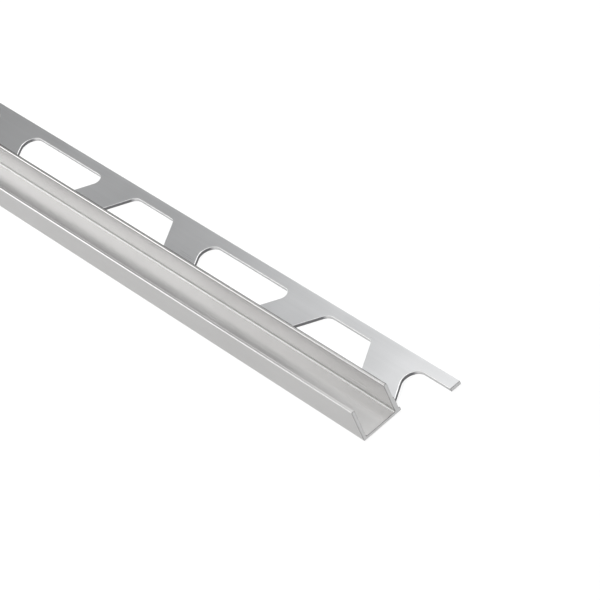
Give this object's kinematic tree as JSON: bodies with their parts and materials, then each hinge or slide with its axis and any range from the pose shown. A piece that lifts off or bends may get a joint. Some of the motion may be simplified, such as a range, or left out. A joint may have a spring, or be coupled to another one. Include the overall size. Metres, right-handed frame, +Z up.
{
  "type": "tile edge trim",
  "caption": "Straight aluminium tile edge trim: a square open channel with a thin flat anchoring leg, punched with rounded trapezoid holes that alternate along it.",
  "frame": {"origin": "middle of the bounding box's underside, on the plane that the trim lies on", "axes": "+X along the length towards the end where the channel is cut back, +Y across from the channel's face to the tip of the anchoring leg, +Z up out of the open channel"},
  "size_m": [1, 0.0336, 0.0125],
  "materials": {
    "aluminium": "satin"
  },
  "bodies": {
    "root": {"edge_profile": "aluminium"}
  },
  "joints": []
}
